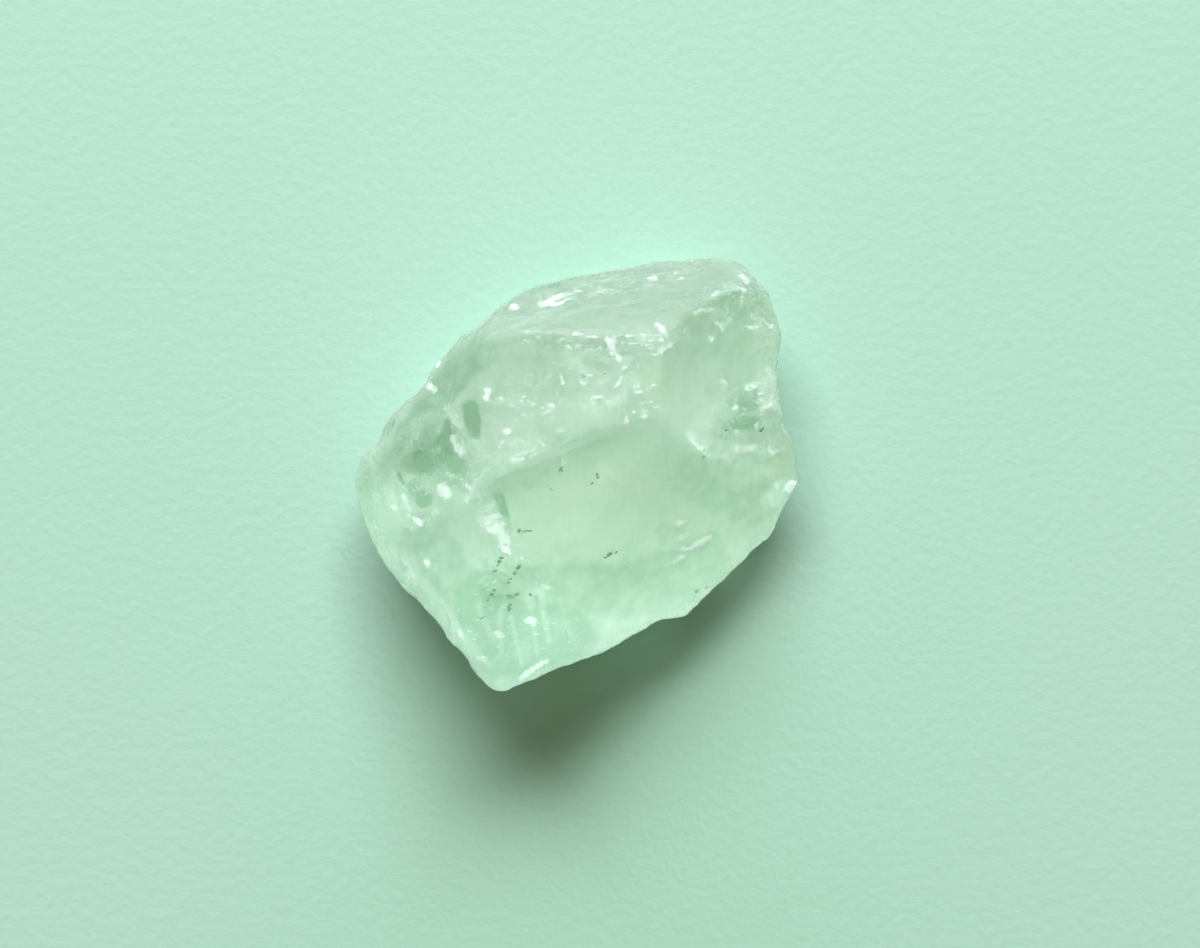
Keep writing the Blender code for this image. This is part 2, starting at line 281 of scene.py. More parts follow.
# %% [markdown]
# ## The break
# Real fracture has relief at several sizes: slow waves a few millimetres long, torn steps of a millimetre
# or two, and fine grit. It could be sculpted by hand, or made once for the whole stone. Here each size is a
# Displace modifier with a procedural texture, held to its places by a vertex group, so each can be made
# higher or lower alone. For ribs the texture is read through an empty that is stretched along the band, and
# then thrown away.

# %% One layer of relief
def displace(name, kind, size, height, group, guide=None, **settings):
    """Pushes the surface in and out. height is in mm, and size is too unless a guide sets its units."""
    texture = bpy.data.textures.new(name, kind)
    texture.noise_scale = size * MM if guide is None else size
    for key, value in settings.items():
        setattr(texture, key, value)
    push = stone.modifiers.new(name, "DISPLACE")
    push.texture = texture
    push.strength = height * MM
    push.mid_level = 0.5
    push.vertex_group = group
    if guide is None:
        push.texture_coords = "LOCAL"
    else:
        push.texture_coords = "OBJECT"
        push.texture_coords_object = guide
    pick(stone)
    bpy.ops.object.modifier_apply(modifier=name)
    bpy.data.textures.remove(texture)
    print(f"{name}: {height} mm from the lowest to the highest")


# %% Waves, torn steps and grit
crackle = {"noise_basis": "VORONOI_CRACKLE", "noise_depth": 1}
steps = {"weight_1": -1.0, "weight_2": 1.0}

displace("slow waves", "CLOUDS", size=4.0, height=0.21, group="not sleek", noise_depth=1)
displace("torn steps", "VORONOI", size=1.7, height=0.21, group="torn", **steps)
displace("torn chips", "CLOUDS", size=1.1, height=0.16, group="torn", **crackle)
displace("grit", "CLOUDS", size=0.9, height=0.05, group="not sleek", noise_depth=2)

# %% Ribs along the back band
RIB_TURN = math.radians(7)
RIB_LONG, RIB_WIDE = 9.0, 0.8  # mm

guide = bpy.data.objects.new("rib guide", None)
bpy.context.scene.collection.objects.link(guide)
guide.rotation_euler = (0, 0, RIB_TURN)
guide.scale = (RIB_LONG * MM, RIB_WIDE * MM, RIB_WIDE * MM)
bpy.context.view_layer.update()
displace("ribs", "CLOUDS", size=1.0, height=0.15, group="ribbed", guide=guide, noise_depth=1)
bpy.data.objects.remove(guide)

# %% [markdown]
# ## Clear windows
# On the left, small flat faces cut through the veils, and the eye looks down through them into the clear
# crystal, dark with the shaded paper under it; later their darker colour is painted shade. Each is an outline
# that is pressed flat, a little below its surroundings, the way a flatten brush works: the plane that fits
# its own points best is worked out, and the points are moved onto it.

# %% Press the windows flat
PANES = {
    "quad": [(-11.1, 6.4), (-10.3, 6.9), (-9.6, 6.6), (-9.2, 4.8), (-9.3, 3.1), (-9.9, 3.1), (-10.8, 4.5)],
    "wedge": [
        (-12.4, 4.9), (-11.7, 3.6), (-11.7, 3.3),
        (-12.1, 2.8), (-12.8, 2.4), (-14.1, 2.3), (-13.4, 3.5),
    ],
    "disc": [
        (-16.2, 1.3), (-15.5, 1.9), (-14.5, 1.8),
        (-14.1, 1.0), (-14.2, 0.2), (-15.5, 0.1), (-16.3, 0.3),
    ],
    "wedge_foot": [
        (-12.8, 2.0), (-11.9, 1.9), (-11.1, 1.0),
        (-10.4, 0.1), (-11.0, -0.3), (-12.4, -0.3), (-13.1, 0.8),
    ],
    "left_pocket": [(-17.9, -0.1), (-17.5, -0.1), (-16.9, -1.2), (-17.1, -1.5), (-17.7, -0.8)],
    "left_low": [(-15.9, -2.2), (-15.0, -1.9), (-14.3, -2.5), (-14.3, -3.4), (-15.3, -3.7), (-16.0, -3.0)],
    "riser": [(-7.4, -1.9), (-7.0, -2.2), (-6.4, -4.4), (-6.7, -4.7), (-7.2, -3.9)],
}

PANE_SUNK = 0.12  # mm below the surroundings
PANE_FADE = 0.5  # mm over which the edge of a pane steps down
PANE_FIRM, PANE_START = 1.6, 0.4  # keeps the middle quite flat and the edge short

points = stone_points()
for name, corners in PANES.items():
    weight = outline_weights({name: corners}, PANE_FADE)
    own = points[weight > 0.5]
    across_and_up = np.column_stack([own[:, 0], own[:, 1], np.ones(len(own))])
    slope = np.linalg.lstsq(across_and_up, own[:, 2], rcond=None)[0]
    flat = points[:, 0] * slope[0] + points[:, 1] * slope[1] + slope[2] - PANE_SUNK
    points[:, 2] += (flat - points[:, 2]) * np.clip(weight * PANE_FIRM - PANE_START, 0, 1)
    tilt = math.degrees(math.atan(math.hypot(slope[0], slope[1])))
    print(f"{name}: {len(own)} points, tilted {tilt:.0f} degrees")

stone.data.vertices.foreach_set("co", (points * MM).ravel())
stone.data.update()

# %% [markdown]
# ## Small ledges
# On the faces that lean away from the window, a little face only shines where it stands out as a ledge with
# a level top. Each is an outline again: its points are lifted towards the height of its back edge, but
# never by much. The same outlines on the faces that look up need no ledge, and are left as they are.

# %% Lift the little faces on the shaded sides
FLASHES = {
    "corner": [(-9.7, -4.5), (-7.8, -4.1), (-7.3, -4.6), (-7.2, -5.4), (-7.9, -6.0), (-9.3, -5.5)],
    "corner_tail": [(-7.9, -6.0), (-7.2, -5.4), (-6.3, -6.3), (-6.4, -8.0), (-7.1, -7.9)],
    "band": [
        (-4.0, 16.5), (-2.9, 17.2), (-2.0, 17.6),
        (-1.2, 17.6), (-0.9, 17.3), (-1.9, 17.1), (-2.9, 16.7),
    ],
    "band_low": [(-2.8, 16.6), (-2.1, 16.9), (-1.2, 17.0), (-1.4, 16.6), (-2.2, 16.3)],
    "ridge_bright": [(7.6, 11.1), (7.9, 11.7), (8.5, 12.1), (9.5, 12.6), (9.2, 12.0), (8.3, 11.1)],
    "peak_a": [(15.3, 15.7), (15.9, 15.9), (15.1, 14.8), (14.6, 14.8)],
    "peak_b": [(14.2, 14.6), (14.8, 14.6), (14.3, 13.8), (13.8, 13.9)],
    "peak_c": [(13.2, 13.4), (13.8, 13.6), (13.3, 12.7), (12.7, 12.5)],
    "ridge_end": [(10.3, 13.6), (11.2, 13.9), (11.0, 13.5)],
    "peak_line": [(11.4, 15.3), (12.7, 15.9), (14.1, 16.0), (14.0, 15.8), (12.7, 15.6), (11.7, 15.1)],
    "peak_arc": [(16.2, 17.2), (16.5, 17.3), (16.6, 16.4), (16.2, 16.0)],
    "ridge_left": [(2.9, 12.8), (3.2, 12.9), (3.8, 11.9), (4.3, 11.0), (4.0, 10.8), (3.5, 11.7)],
    "ridge_mid": [(7.6, 14.2), (7.9, 14.3), (8.7, 13.5), (8.5, 13.3)],
    "front_a": [(9.4, -5.1), (9.9, -4.7), (10.8, -5.0), (10.1, -5.4)],
    "front_b": [(9.6, -7.8), (11.0, -7.3), (12.2, -6.7), (13.3, -6.4), (12.6, -7.3), (11.2, -7.8)],
    "front_c": [(9.4, -9.0), (10.1, -8.5), (11.0, -8.2), (10.4, -8.9)],
    "front_d": [(9.7, -6.6), (11.2, -5.8), (11.5, -6.0), (10.2, -6.8)],
    "tip_rim": [(-11.6, -15.5), (-11.0, -15.8), (-11.1, -16.6), (-11.6, -16.2)],
    "rim_low": [(-16.8, -9.8), (-16.2, -9.6), (-15.5, -10.5), (-15.9, -11.0)],
    "right_point": [
        (20.5, -1.6), (20.9, -0.9), (21.5, -1.1),
        (22.1, -0.9), (22.0, -1.8), (21.4, -2.4), (20.9, -2.1),
    ],
    "lip": [(15.8, 2.3), (16.8, 2.4), (17.4, 2.4), (16.5, 2.0)],
    "left": [(-13.4, -1.6), (-12.5, -1.5), (-12.2, -2.1), (-12.7, -2.7), (-13.3, -2.5)],
    "shelf_chip": [(-7.0, 4.0), (-6.4, 3.9), (-6.5, 3.6), (-6.9, 3.6)],
    "face_chip": [(4.6, 5.3), (5.0, 5.2), (4.9, 4.4), (4.5, 4.5)],
    "scoop_chip": [(16.8, 8.5), (17.9, 8.7), (18.0, 8.3), (17.0, 8.1)],
}

LEDGE_LIFT = 0.6  # mm at the most
LEDGE_FADE = 0.4  # mm
LEDGE_FIRM, LEDGE_START = 2.0, 0.5
BACK_EDGE = 85  # per cent of an outline's points that lie lower than its back edge
LEANS_AWAY = -0.25  # how much of the surface's direction is to the front before it counts as shaded

normals = stone_points("normal")
for name, corners in FLASHES.items():
    weight = outline_weights({name: corners}, LEDGE_FADE)
    own = weight > 0.5
    if not own.any() or normals[own, 1].mean() > LEANS_AWAY:
        continue
    level = np.percentile(points[own, 2], BACK_EDGE)
    lift = np.clip(level - points[:, 2], 0, LEDGE_LIFT) * np.clip(weight * LEDGE_FIRM - LEDGE_START, 0, 1)
    points[:, 2] += lift
    print(f"{name}: lifted up to {lift.max():.2f} mm")

# %% Keep it inside the CAD box
low, high = (np.array(corner) for corner in cad_box)
points = np.clip(points * MM, low, high)
stone.data.vertices.foreach_set("co", points.ravel())
stone.data.update()
stone.vertex_groups.clear()
print("stone box in mm:", (points.min(0) / MM).round(2), (points.max(0) / MM).round(2))

# %% [markdown]
# ## Paint for the inside
# Alum is clear, but a hand-broken piece is full of tiny cracks. Sheets of them look white, and they are the
# veils. Where there are none the eye sees down into dark, green depths, and this darker colour is partly
# painted shade. Some veil strokes are painted light on shaded faces and a crease, and some clear strokes are
# painted shade on faces that would come out too bright. An artist could paint one picture of all this, but a
# mask for each look is easier to change, and it follows the stone from every side.

# %% White veils, and painted light on shaded places
# Most strokes are white veils inside the crystal. right_side, right_end, scoop_floor, band_wash, fold and the
# rim_low_left strokes are painted light: they lighten faces in shade, a crease and the back band.
VEIL_AND_PAINTED_LIGHT = {
    "shelf_middle": ([(-7.3, 4.5), (-3.0, 5.4), (2.3, 6.4)], 2.69, 0.4),
    "shelf_back": ([(-7.4, 9.8), (-0.6, 9.3), (6.1, 10.2)], 2.31, 0.3),
    "band_wash": ([(-8.4, 13.0), (-1.7, 15.9), (6.2, 16.8), (14.2, 18.8)], 1.57, 0.12),
    "shelf_front": ([(-8.7, 0.3), (-5.4, 0.9), (-3.0, 2.5), (1.3, 4.4)], 1.53, 0.5),
    "shelf_edge": ([(-7.6, -1.9), (-5.4, -0.6), (-2.9, 0.8)], 0.48, 0.4),
    "shelf_left_edge": ([(-8.9, 3.0), (-9.3, 0.1), (-8.3, -1.4)], 0.87, 0.4),
    "shelf_cloud": ([(-4.4, 8.3), (-3.3, 7.1)], 1.35, 0.2),
    "scoop_floor": ([(11.1, 12.3), (11.8, 8.4), (11.0, 5.5)], 2.53, 0.85),
    "scoop_side": ([(14.1, 12.0), (14.9, 8.5), (13.5, 4.5)], 1.57, 0.4),
    "scoop_lip": ([(12.0, 2.4), (14.9, 2.5)], 0.78, 0.75),
    "ridge_cloud": ([(5.8, 13.9), (7.1, 12.6), (9.2, 12.7)], 0.87, 0.4),
    "ridge_cloud_left": ([(2.9, 13.0), (3.6, 12.1), (4.2, 11.1)], 0.58, 0.4),
    "ridge_veil": ([(-4.0, 13.4), (-1.6, 13.5), (2.3, 13.5), (6.2, 14.3)], 0.29, 0.25),
    "peak_hackle": ([(13.6, 16.8), (15.6, 17.5), (17.1, 17.4)], 0.79, 0.25),
    "right_side": ([(19.0, 14.1), (19.4, 7.1), (19.8, 3.1)], 1.39, 0.9),
    "fold": ([(-2.7, 1.0), (-0.1, 1.9), (2.3, 2.7), (5.0, 3.8), (7.6, 4.8)], 1.15, 0.35),
    "right_end": ([(19.3, -2.8), (21.2, -1.7)], 1.10, 0.9),
    "band_line": ([(-6.2, 13.9), (-3.7, 15.5), (-1.7, 16.2)], 0.29, 0.5),
    "left_veil_high": ([(-9.2, 8.2), (-10.7, 7.8), (-12.1, 6.2)], 0.29, 0.6),
    "left_veil": ([(-12.1, 5.5), (-11.6, 3.8), (-11.0, 1.9), (-9.5, -1.4)], 0.49, 0.6),
    "left_hazy": ([(-11.8, -2.8), (-10.3, -3.7), (-13.3, -4.7)], 1.36, 0.3),
    "left_arc": ([(-17.6, 0.9), (-17.0, 2.0), (-16.2, 2.3)], 0.30, 0.5),
    "left_low_arc": ([(-17.4, -4.8), (-16.2, -5.6), (-15.2, -5.0)], 0.39, 0.4),
    "rim_low_left_a": ([(-16.6, -9.1), (-15.8, -10.4), (-14.8, -11.4)], 0.49, 0.8),
    "rim_low_left_b": ([(-14.8, -11.4), (-13.6, -12.6), (-12.6, -13.9)], 0.49, 0.6),
    "rim_low_left_c": ([(-12.6, -13.9), (-11.2, -16.1), (-10.2, -17.6)], 0.49, 0.35),
    "tip_streak_a": ([(-3.4, -11.5), (-3.2, -13.7), (-2.7, -16.5)], 0.29, 0.4),
    "tip_streak_b": ([(-4.5, -13.1), (-4.2, -15.5), (-3.8, -17.9)], 0.24, 0.25),
    "tip_streak_c": ([(-7.4, -13.6), (-7.5, -15.4), (-7.2, -17.9)], 0.29, 0.3),
    "tip_streak_d": ([(-6.3, -14.2), (-5.9, -16.4), (-5.3, -18.8)], 0.24, 0.35),
    "tip_streak_e": ([(-1.6, -12.5), (-1.0, -14.7), (-0.4, -16.5)], 0.29, 0.2),
    "tip_arc": ([(-9.5, -12.9), (-8.9, -14.6), (-8.0, -16.4)], 0.29, 0.3),
}
keep_attribute("veil_and_painted_light", stroke_weights(VEIL_AND_PAINTED_LIGHT))

# %% Clear depths, and painted shade
# Most strokes are clear crystal, dark green where the shaded paper shows through, so that darkness is partly
# painted shade. tip_body, left_face, band, low_face, right_face, peak_ridge and front_around are painted
# shade that darkens faces and a ridge the light makes too bright.
CLEAR_AND_PAINTED_SHADE = {
    "back_slope": ([(-9.2, 11.6), (-11.2, 10.1), (-13.7, 7.2), (-15.3, 4.9), (-16.5, 3.3)], 1.67, 0.6),
    "back_slope_low": ([(-16.9, 2.6), (-19.0, 0.1)], 0.99, 0.35),
    "window_quad": ([(-10.1, 6.2), (-9.9, 3.8)], 0.58, 1.0),
    "window_wedge": ([(-12.4, 4.6), (-12.7, 2.6), (-12.7, 0.5)], 0.68, 0.9),
    "window_wedge_foot": ([(-13.4, 0.9), (-11.5, 0.5)], 0.78, 0.8),
    "window_disc": ([(-15.1, 1.4), (-14.9, 0.8)], 0.98, 1.0),
    "window_below": ([(-16.2, -1.8), (-14.9, -2.6)], 0.89, 0.5),
    "window_zone": ([(-16.2, 1.9), (-13.4, 1.3), (-11.5, 0.1)], 1.96, 0.6),
    "left_low_dark": ([(-15.3, -4.3), (-14.8, -4.8)], 0.49, 0.5),
    "scoop_deep": ([(14.9, 5.3), (16.3, 6.6), (18.0, 7.6)], 1.19, 0.6),
    "scoop_deep_low": ([(15.6, 4.7), (18.0, 4.7)], 0.69, 0.7),
    "ledge_riser": ([(-7.6, -2.3), (-7.2, -3.5), (-6.8, -4.7)], 0.39, 0.8),
    "ledge_riser_low": ([(-6.7, -4.7), (-6.5, -6.1)], 0.39, 0.5),
    "under_ridge": ([(-6.4, 12.1), (-2.0, 11.7), (2.3, 11.9)], 1.16, 0.25),
    "under_ridge_right": ([(1.3, 10.7), (2.9, 10.3)], 0.77, 0.4),
    "band_green_spot": ([(-2.5, 18.7), (-1.9, 18.5)], 0.40, 0.7),
    "tip_facet": ([(-6.9, -10.0), (-4.5, -10.5), (-2.7, -10.0)], 1.26, 0.4),
    "tip_line_a": ([(-3.9, -12.1), (-3.6, -14.7), (-3.2, -17.3)], 0.21, 0.7),
    "tip_line_b": ([(-6.7, -14.4), (-6.5, -16.4), (-6.0, -18.6)], 0.21, 0.7),
    "tip_line_c": ([(-8.4, -12.5), (-8.2, -14.2), (-7.4, -16.4)], 0.21, 0.6),
    "tip_line_d": ([(-2.3, -12.3), (-1.8, -14.3), (-1.3, -16.5)], 0.23, 0.5),
    "tip_body": ([(-8.8, -12.9), (-6.0, -16.9), (-1.6, -16.0)], 3.50, 0.9),
    "left_face": ([(-14.9, -6.2), (-11.8, -10.6), (-9.3, -13.9)], 2.34, 0.5),
    "band": ([(-5.5, 15.0), (2.3, 16.7), (14.2, 18.4)], 1.97, 0.25),
    "peak_ridge": ([(7.6, 11.5), (11.0, 14.5), (13.6, 16.8), (17.1, 18.0)], 0.78, 0.3),
    "front_around": ([(9.0, -6.2), (11.2, -8.0), (13.4, -7.3)], 1.38, 0.3),
    "low_face": ([(-0.1, -11.5), (6.2, -11.7), (12.3, -9.3)], 2.95, 0.55),
    "right_face": ([(12.0, -0.8), (17.7, -2.8)], 2.56, 0.4),
    "tip_facet_left": ([(-8.5, -11.5), (-9.0, -13.4)], 0.48, 0.4),
    "beige_green_a": ([(4.7, 0.1), (3.7, -0.8)], 0.96, 0.15),
    "beige_green_b": ([(15.6, 0.1), (17.4, -0.6), (16.7, -2.6)], 0.99, 0.3),
    "beige_green_c": ([(8.8, -9.7), (8.7, -12.8)], 0.69, 0.35),
    "low_left_pocket": ([(-13.5, -10.9), (-12.9, -11.8)], 0.39, 0.6),
    "chip": ([(13.5, -10.4), (15.1, -9.7)], 0.80, 0.35),
}
keep_attribute("clear", stroke_weights(CLEAR_AND_PAINTED_SHADE))

# %% Warm stains
STAIN = {
    "front_face": ([(-1.6, -3.7), (6.2, -2.8), (14.1, -3.8)], 4.66, 0.55),
    "front_face_low": ([(1.3, -11.5), (7.2, -10.7), (12.2, -8.8)], 3.35, 0.6),
    "chip": ([(12.3, -10.8), (14.5, -10.1)], 1.60, 0.8),
    "rim_right": ([(19.8, 3.1), (20.7, 0.6)], 1.60, 0.6),
    "shelf_end": ([(7.6, 9.2), (8.0, 5.9)], 1.53, 0.6),
    "peak_brown": ([(9.6, 14.4), (11.8, 14.9)], 0.97, 0.7),
    "peak_corner": ([(17.7, 16.2), (19.2, 16.3)], 0.99, 0.5),
    "ridge_edge": ([(-5.4, 12.2), (-1.6, 13.6)], 0.58, 0.5),
    "tip_core": ([(-6.9, -12.5), (-5.5, -12.7)], 0.78, 0.5),
    "ledge_foot": ([(-0.1, 0.9), (2.3, 2.1), (6.1, 3.0)], 0.77, 0.5),
}
keep_attribute("stain", stroke_weights(STAIN, soft=1.0))

# %% [markdown]
# ## Marks with hard edges
# A spark is a tiny face inside or on the crystal that mirrors the window, and a crack or a pit is a place
# where a chip came out and the light is lost. A spark's whiter colour is a painted highlight beside the real
# glint of its coat. They are short lines with hard edges. The finest sparks, the flecks, are far too many to
# place one by one: a wide stroke only says how many there are, and the pattern of slivers in the material
# decides which of them shine.

# %% Sparks
OUTLINE_FADE = 0.8  # mm, wide enough for the shader to find the crisp edge between two vertices

# each spark is painted whiter, a painted highlight beside the glint of its tilted coat
SPARK = {
    "left_spark_a": ([(-11.6, 2.4), (-11.2, 1.9)], 0.44),
    "left_spark_b": ([(-12.1, 3.3), (-12.0, 3.0)], 0.28),
    "left_spark_c": ([(-13.2, -1.7), (-12.7, -2.2)], 0.54),
    "left_spark_d": ([(-10.5, -2.6), (-9.9, -1.6)], 0.28),
    "left_streak_a": ([(-9.8, -2.0), (-8.7, -3.6)], 0.20),
    "left_streak_b": ([(-10.7, -1.2), (-10.3, -1.8)], 0.20),
    "left_grain_a": ([(-16.0, -4.7), (-15.3, -5.1)], 0.25),
    "left_grain_b": ([(-17.1, -2.4), (-16.9, -2.7)], 0.25),
    "left_grain_c": ([(-18.2, -3.4), (-18.0, -3.6)], 0.21),
    "slope_spark": ([(-14.5, 8.5), (-14.1, 8.1)], 0.34),
    "slope_spark_low": ([(-14.0, 11.0), (-14.0, 10.6)], 0.29),
    "ring_a": ([(-8.9, 7.8), (-8.4, 7.8)], 0.20),
    "ring_b": ([(-9.0, 7.3), (-8.6, 7.0)], 0.20),
    "band_spot": ([(-6.4, 16.5), (-6.0, 16.2)], 0.34),
    "band_flash_low": ([(-3.6, 16.5), (-2.5, 16.7), (-1.7, 16.6)], 0.21),
    "band_fleck": ([(7.3, 19.2), (7.7, 19.2)], 0.25),
    "ridge_streak_a": ([(3.2, 12.3), (3.5, 11.5), (4.1, 10.9)], 0.24),
    "ridge_streak_c": ([(7.8, 14.3), (8.5, 13.5)], 0.20),
    "peak_line": ([(11.6, 15.4), (12.7, 15.8), (13.9, 15.9)], 0.15),
    "peak_arc_a": ([(13.4, 17.2), (13.9, 17.7)], 0.12),
    "peak_arc_b": ([(15.9, 18.1), (16.7, 17.9)], 0.12),
    "corner_line": ([(17.0, 14.3), (18.4, 14.4), (19.7, 14.4)], 0.20),
    "corner_streak": ([(16.0, 19.8), (17.0, 18.9)], 0.15),
    "shelf_spot_a": ([(-1.4, 9.0), (-1.3, 8.4)], 0.15),
    "shelf_spot_b": ([(-1.3, 1.1), (-1.2, 0.8)], 0.20),
    "shelf_spot_c": ([(4.8, 5.2), (4.9, 4.4)], 0.23),
    "shelf_spot_d": ([(-7.0, 3.8), (-6.4, 3.9)], 0.18),
    "shelf_spot_e": ([(0.4, 8.6), (0.8, 8.5)], 0.15),
    "shelf_spot_f": ([(5.8, 7.7), (6.4, 7.7)], 0.14),
    "shelf_spot_g": ([(-6.2, 1.4), (-5.9, 1.0)], 0.20),
    "scoop_spark_a": ([(17.0, 8.4), (17.8, 8.6)], 0.37),
    "scoop_spark_b": ([(14.3, 8.8), (14.6, 8.7)], 0.25),
    "scoop_spark_c": ([(18.4, 6.0), (19.2, 6.6)], 0.32),
    "scoop_spark_d": ([(19.0, 10.0), (19.3, 9.5)], 0.25),
    "scoop_spark_e": ([(15.5, 6.2), (15.9, 6.3)], 0.20),
    "scoop_spark_f": ([(17.8, 4.6), (17.9, 4.1)], 0.21),
    "lip_spark": ([(15.8, 2.2), (17.2, 2.3)], 0.30),
    "lip_spark_b": ([(15.6, 3.8), (16.1, 3.7)], 0.28),
    "lip_spark_c": ([(17.4, 2.5), (17.6, 2.8)], 0.21),
    "side_spark": ([(19.2, 2.5), (19.5, 2.0)], 0.28),
    "rim_of_scoop": ([(11.0, 3.4), (11.7, 2.4), (12.8, 1.6), (15.7, 1.4)], 0.19),
    "right_inner_a": ([(19.2, -2.2), (19.5, -2.9)], 0.30),
    "right_inner_b": ([(19.9, -1.4), (20.3, -1.2)], 0.28),
    "tip_streak": ([(-5.4, -20.3), (-4.2, -19.2), (-3.0, -18.6)], 0.24),
    "tip_hackle": ([(-4.7, -14.5), (-4.2, -14.7)], 0.33),
    "tip_hackle_b": ([(-3.4, -11.1), (-2.7, -11.3)], 0.20),
    "tip_spot": ([(-7.7, -15.7), (-7.4, -15.9)], 0.31),
    "tip_rim_b": ([(-9.6, -18.1), (-8.8, -18.4)], 0.23),
    "rim_fleck_b": ([(-14.7, -8.8), (-14.5, -9.3)], 0.24),
    "ledge_line": ([(-5.4, -8.4), (-4.7, -8.7)], 0.19),
    "face_arc_spot": ([(2.1, -0.8), (2.4, -0.7)], 0.19),
}
keep_attribute("spark", line_weights(SPARK, OUTLINE_FADE))

# %% Cracks and pits
CRACK_HALF_WIDTH = 0.09  # mm

CRACK = {
    "tip_crack_a": [(-7.1, -8.1), (-7.6, -9.1), (-8.0, -9.8)],
    "tip_crack_b": [(-5.4, -9.0), (-5.9, -9.7), (-6.6, -10.8)],
    "tip_crack_c": [(-7.9, -11.5), (-8.3, -12.1), (-8.6, -12.4)],
    "tip_pit_a": [(-6.0, -12.0), (-5.4, -11.8)],
    "tip_pit_b": [(-4.6, -11.9), (-4.0, -12.0)],
    "tip_pit_c": [(-6.7, -12.1), (-6.2, -12.1)],
    "tip_pit_d": [(-6.4, -13.0), (-6.6, -13.6)],
    "tip_pit_e": [(-9.2, -14.3), (-8.9, -14.1)],
    "face_pit_a": [(1.3, -1.4), (1.6, -1.1)],
    "face_pit_b": [(2.0, -0.2), (2.1, -0.5)],
    "face_pit_c": [(-1.4, 0.3), (-1.5, -0.2)],
    "face_pit_d": [(-5.5, -5.7), (-5.4, -6.0)],
    "face_pit_e": [(-5.1, -5.8), (-4.3, -5.7)],
    "face_pit_f": [(-2.8, -1.3), (-2.3, -1.7)],
    "face_arc": [(2.8, -8.4), (3.2, -8.0), (3.9, -7.8)],
    "face_pit_g": [(4.7, -9.2), (5.1, -8.8)],
    "face_pit_h": [(5.2, -9.6), (5.3, -9.9)],
    "shelf_pit_a": [(5.6, 8.0), (5.8, 8.3)],
    "shelf_pit_b": [(2.7, 9.7), (2.8, 9.3)],
    "shelf_pit_c": [(0.7, 9.1), (0.9, 9.3)],
    "band_pit": [(12.1, 19.8), (12.6, 20.1)],
    "chip_pit_a": [(12.9, -11.7), (13.1, -11.6)],
    "chip_pit_b": [(11.9, -12.0), (12.2, -11.9)],
    "scoop_pit_a": [(14.6, 4.1), (14.8, 4.1)],
    "scoop_pit_b": [(18.2, 4.0), (18.5, 4.3)],
    "lip_pit_a": [(12.1, 2.2), (12.3, 2.1)],
    "lip_pit_b": [(12.3, 1.5), (12.4, 1.4)],
}
thin_cracks = {name: (line, CRACK_HALF_WIDTH) for name, line in CRACK.items()}
keep_attribute("crack", line_weights(thin_cracks, OUTLINE_FADE))

# %% Flecks
# A stroke's strength says how many of the slivers under it shine: none at 0.15 and all at 0.85.
# each fleck that shines is painted whiter, a painted highlight beside the glint of its coat
FLECK = {
    "ridge": ([(-4.9, 12.9), (-0.6, 12.7), (2.3, 12.2), (6.1, 12.6), (9.2, 12.9)], 0.87, 0.28),
    "ridge_right": ([(7.6, 11.5), (8.8, 12.3), (11.0, 13.7)], 0.58, 0.31),
    "peak": ([(12.7, 13.1), (14.3, 14.9), (15.9, 16.3), (16.5, 17.5), (14.9, 17.9)], 0.69, 0.33),
    "peak_side": ([(17.1, 17.0), (18.4, 14.4), (19.0, 12.6)], 0.89, 0.26),
    "back_band": ([(-3.7, 17.1), (2.3, 18.2), (11.2, 19.4)], 0.99, 0.23),
    "shelf": ([(-5.4, 6.9), (-1.5, 8.3), (4.2, 8.8), (6.1, 6.8)], 2.50, 0.22),
    "shelf_front": ([(-7.3, 1.6), (-3.5, 2.5), (-0.1, 3.0)], 1.34, 0.24),
    "left_line": ([(-12.5, 6.2), (-11.8, 5.0), (-11.3, 3.1)], 0.58, 0.33),
    "left_low": ([(-18.0, -3.3), (-16.4, -4.8), (-14.4, -4.3)], 1.18, 0.25),
    "left_middle": ([(-17.4, 0.1), (-14.9, -1.3), (-12.3, -0.8), (-9.8, -1.3)], 1.27, 0.22),
    "left_rim": ([(-19.0, 0.1), (-15.4, 4.6), (-12.4, 9.0)], 0.99, 0.18),
    "corner": ([(-9.3, -2.3), (-7.4, -5.2), (-6.4, -7.6)], 1.16, 0.23),
    "left_face": ([(-17.4, -6.8), (-14.3, -10.6), (-10.9, -16.4)], 1.57, 0.18),
    "tip": ([(-8.4, -12.5), (-6.5, -16.4), (-1.6, -15.5)], 2.92, 0.16),
    "scoop_side": ([(18.4, 9.1), (19.0, 6.1), (18.6, 2.6)], 1.09, 0.3),
    "scoop_deep": ([(14.6, 5.0), (16.6, 7.1)], 1.18, 0.22),
    "lip": ([(12.0, 2.6), (16.7, 2.5)], 0.78, 0.31),
    "front": ([(9.2, -7.2), (12.2, -6.8)], 1.58, 0.18),
    "right_point": ([(19.3, -2.8), (21.4, -0.9)], 0.90, 0.27),
    "front_rim": ([(-1.6, -18.0), (6.3, -15.3), (14.3, -11.4), (20.4, -4.9)], 0.80, 0.17),
    "face": ([(2.3, -8.6), (10.3, -10.8)], 2.55, 0.16),
}
keep_attribute("fleck", stroke_weights(FLECK))

# %% The little faces and the windows, which have their outlines already
# the little faces' outlines: their whiter colour is a painted highlight
keep_attribute("flash", outline_weights(FLASHES, OUTLINE_FADE))
# the windows' outlines: clear crystal whose darker colour is partly painted shade
keep_attribute("pane", outline_weights(PANES, OUTLINE_FADE))

# %% What the surface itself is like
SHADE_STEEPNESS = 4
UNDER_STEEPNESS = 2

